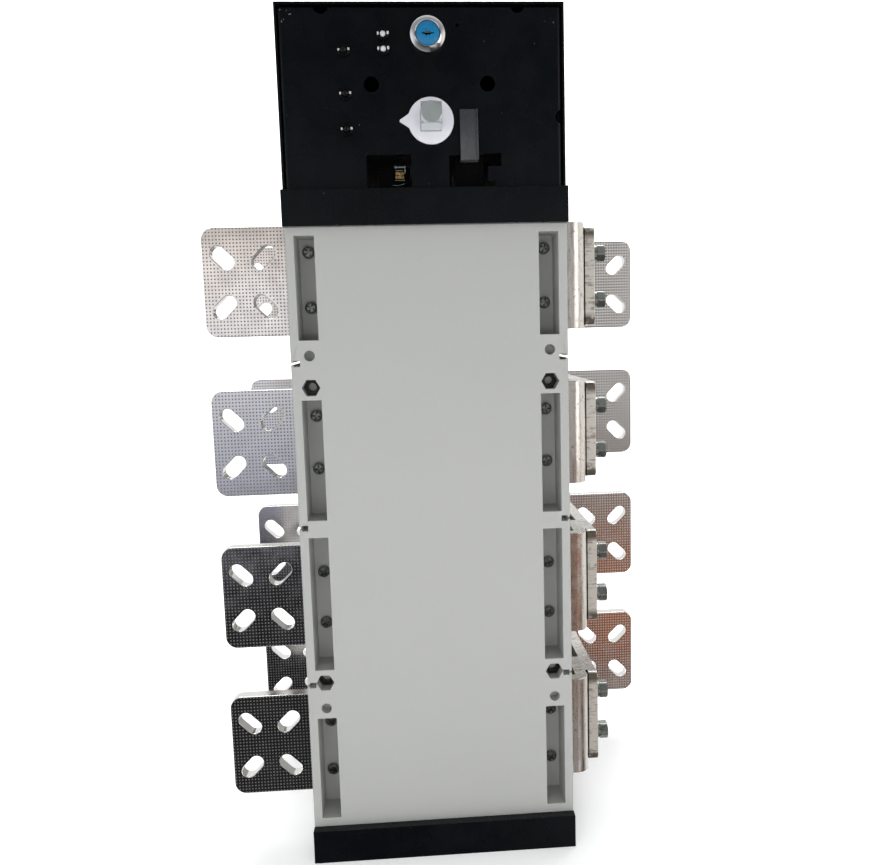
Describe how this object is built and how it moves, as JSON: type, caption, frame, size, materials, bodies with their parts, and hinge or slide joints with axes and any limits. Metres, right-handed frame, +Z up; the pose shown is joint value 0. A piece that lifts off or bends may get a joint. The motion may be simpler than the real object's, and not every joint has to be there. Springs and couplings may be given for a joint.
{
  "type": "automatic transfer switch",
  "caption": "Multi-pole changeover switch on end: grey moulded pole stack, knurled flat terminals on both sides, black mechanism box with key lock, indicator and square shaft.",
  "frame": {"origin": "centre of the underside of the base end frame", "axes": "+Z up the stack of poles towards the mechanism box, -Y out of the front face, +X towards the load terminals"},
  "size_m": [0.3585, 0.2615, 0.622],
  "materials": {
    "moulding": "fine moulded texture",
    "zinc_screws": "zinc plated",
    "black_steel": "black powder coat",
    "black_screws": "blackened",
    "tinned_copper": "tin plated, knurled",
    "copper": "bright copper",
    "insulation": "moulding compound",
    "steel": "machined",
    "bronze": "sintered",
    "white_plastic": "smooth",
    "chrome": "bright",
    "blue_plug": "smooth",
    "bezel": "smooth",
    "lens": "translucent",
    "switch_case": "moulded"
  },
  "bodies": {
    "switch_body": {"front_cover": "moulding", "rear_cover": "moulding", "front_housing": "moulding", "rear_housing": "moulding", "cover_screws": "zinc_screws", "recess_nuts": "zinc_screws", "lower_end_frame": "black_steel", "upper_end_frame": "black_steel", "tie_rods": "zinc_screws", "tie_nuts": "zinc_screws", "front_line_terminal_1": "tinned_copper", "front_line_terminal_2": "tinned_copper", "front_line_terminal_3": "tinned_copper", "front_line_terminal_4": "tinned_copper", "rear_line_terminal_1": "tinned_copper", "rear_line_terminal_2": "tinned_copper", "rear_line_terminal_3": "tinned_copper", "rear_line_terminal_4": "tinned_copper", "front_load_stub_1": "tinned_copper", "front_load_stub_2": "tinned_copper", "front_load_stub_3": "tinned_copper", "front_load_stub_4": "tinned_copper", "bridging_bar_1": "tinned_copper", "bridging_bar_2": "tinned_copper", "bridging_bar_3": "tinned_copper", "bridging_bar_4": "tinned_copper", "rear_load_terminal_1": "tinned_copper", "rear_load_terminal_2": "tinned_copper", "rear_load_terminal_3": "tinned_copper", "rear_load_terminal_4": "tinned_copper", "bridge_bolts": "zinc_screws", "bridge_nuts": "zinc_screws", "arc_chutes": "steel", "shaft_bushes": "bronze", "slide_rail": "steel", "mechanism_bracket": "steel", "drive_motor": "steel", "box_cover": "black_steel", "box_screws": "black_screws", "rear_panel": "black_steel", "front_plate": "black_steel", "lock_barrel": "chrome", "lamp_bezels": "bezel", "lamp_lenses": "lens", "auxiliary_switch": "switch_case"},
    "operating_shaft": {"operating_shaft": "zinc_screws", "shaft_gears": "steel", "indicator_disc": "white_plastic"},
    "drive_slide": {"drive_slide": "steel"},
    "front_rotor": {"front_contact_shaft": "steel", "front_rotors": "insulation", "front_blades": "copper", "front_shaft_gear": "steel"},
    "rear_rotor": {"rear_contact_shaft": "steel", "rear_rotors": "insulation", "rear_blades": "copper", "rear_shaft_gear": "steel"},
    "motor_pinion": {"motor_pinion": "steel"},
    "lock_plug": {"lock_plug": "blue_plug"},
    "padlock_strip": {"padlock_strip": "black_steel"}
  },
  "joints": [
    {"name": "operate", "type": "hinge", "parent": "switch_body", "child": "operating_shaft", "pos_m": [0.005, 0, 0.543], "axis": [0, 1, 0], "range_deg": [-90, 90]},
    {"name": "slide_travel", "type": "slide", "parent": "switch_body", "child": "drive_slide", "axis": [1, 0, 0], "range_m": [-0.0189, 0.0189]},
    {"name": "front_contacts", "type": "hinge", "parent": "switch_body", "child": "front_rotor", "pos_m": [0, -0.056, 0.26], "axis": [0, 0, 1], "range_deg": [-45.1, 45.1]},
    {"name": "rear_contacts", "type": "hinge", "parent": "switch_body", "child": "rear_rotor", "pos_m": [0, 0.056, 0.26], "axis": [0, 0, 1], "range_deg": [-45.1, 45.1]},
    {"name": "motor_turn", "type": "hinge", "parent": "switch_body", "child": "motor_pinion", "pos_m": [0.041, 0.03, 0.543], "axis": [0, 1, 0], "range_deg": [-180.5, 180.5]},
    {"name": "key_turn", "type": "hinge", "parent": "switch_body", "child": "lock_plug", "pos_m": [0.0045, -0.11, 0.5995], "axis": [0, 1, 0], "range_deg": [0, 90]},
    {"name": "padlock_pull", "type": "slide", "parent": "switch_body", "child": "padlock_strip", "axis": [0, -1, 0], "range_m": [0, 0.014]}
  ],
  "couplings": [
    {"joint": "slide_travel", "follows": "operate", "m_per_rad": -0.012},
    {"joint": "front_contacts", "follows": "operate", "ratio": 0.5},
    {"joint": "rear_contacts", "follows": "operate", "ratio": -0.5},
    {"joint": "motor_turn", "follows": "operate", "ratio": -2}
  ]
}
